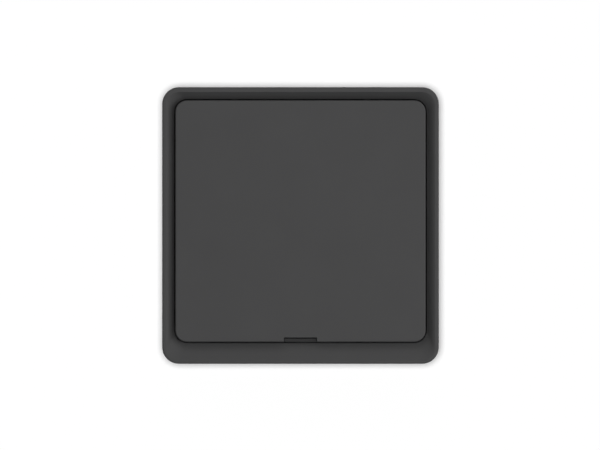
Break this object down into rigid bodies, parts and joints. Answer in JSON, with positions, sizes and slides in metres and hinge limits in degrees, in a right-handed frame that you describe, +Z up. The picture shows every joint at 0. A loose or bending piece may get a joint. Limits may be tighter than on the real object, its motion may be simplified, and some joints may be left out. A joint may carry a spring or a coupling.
{
  "type": "wireless remote wall switch",
  "caption": "Square surface-mounted remote switch with a dished surround and one wide rocker, notched at its lower edge.",
  "frame": {"origin": "middle of the mounting plate's wall face, behind the middle of the frame", "axes": "+Z up, +X to the viewer's right, +Y into the wall; the rocker faces -Y"},
  "size_m": [0.063, 0.014, 0.063],
  "materials": {
    "shell_plastic": "fine-grained matt, anthracite",
    "plate_plastic": "plain matt, dark grey",
    "case_plastic": "plain matt, black",
    "holder_plastic": "plain, black",
    "tappet_plastic": "natural acetal",
    "smoked_clear": "smoked, frosted front",
    "lamp_resin": "clear resin",
    "chip_resin": "moulded resin",
    "ceramic": "fired ceramic",
    "board_laminate": "green solder mask",
    "zinc_steel": "zinc plated",
    "tin_plate": "tin plated",
    "cell_steel": "nickel plated",
    "spring_steel": "bright stainless",
    "buffer_rubber": "soft silicone"
  },
  "bodies": {
    "wall_unit": {"mounting_plate": "plate_plastic", "frame": "shell_plastic", "rear_housing": "case_plastic", "front_cover": "case_plastic", "cover_screws": "zinc_steel", "circuit_board": "board_laminate", "radio_board": "board_laminate", "shield_can": "tin_plate", "controller_chip": "chip_resin", "quartz_crystal": "tin_plate", "chip_antenna": "ceramic", "chip_parts": "ceramic", "battery_holder": "holder_plastic", "battery_positive_clip": "tin_plate", "battery_negative_spring": "tin_plate", "coin_cell": "cell_steel", "upper_snap_dome": "spring_steel", "lower_snap_dome": "spring_steel", "upper_return_spring": "spring_steel", "lower_return_spring": "spring_steel", "left_pivot_pin": "spring_steel", "right_pivot_pin": "spring_steel", "stop_buffers": "buffer_rubber", "light_guide": "smoked_clear", "status_lamp": "lamp_resin", "pairing_switch_case": "chip_resin"},
    "rocker": {"rocker_plate": "shell_plastic"},
    "upper_tappet_pin": {"upper_tappet": "tappet_plastic"},
    "lower_tappet_pin": {"lower_tappet": "tappet_plastic"},
    "pairing_plunger": {"pairing_button": "tappet_plastic"}
  },
  "joints": [
    {"name": "rocker_tilt", "type": "hinge", "parent": "wall_unit", "child": "rocker", "pos_m": [0, -0.01, 0.001], "axis": [1, 0, 0], "range_deg": [-2.5, 2.5], "stiffness_Nm_per_rad": 0.289},
    {"name": "upper_tappet_slide", "type": "slide", "parent": "wall_unit", "child": "upper_tappet_pin", "axis": [0, -1, 0], "range_m": [-0.00075, 0.00075], "deforming": ["upper_return_spring", "upper_snap_dome"]},
    {"name": "lower_tappet_slide", "type": "slide", "parent": "wall_unit", "child": "lower_tappet_pin", "axis": [0, -1, 0], "range_m": [-0.00075, 0.00075], "deforming": ["lower_return_spring", "lower_snap_dome"]},
    {"name": "pairing_press", "type": "slide", "parent": "wall_unit", "child": "pairing_plunger", "axis": [0, 1, 0], "range_m": [0, 0.00025], "stiffness_N_per_m": 6000}
  ],
  "couplings": [
    {"joint": "upper_tappet_slide", "follows": "rocker_tilt", "m_per_rad": 0.017},
    {"joint": "lower_tappet_slide", "follows": "rocker_tilt", "m_per_rad": -0.017}
  ]
}
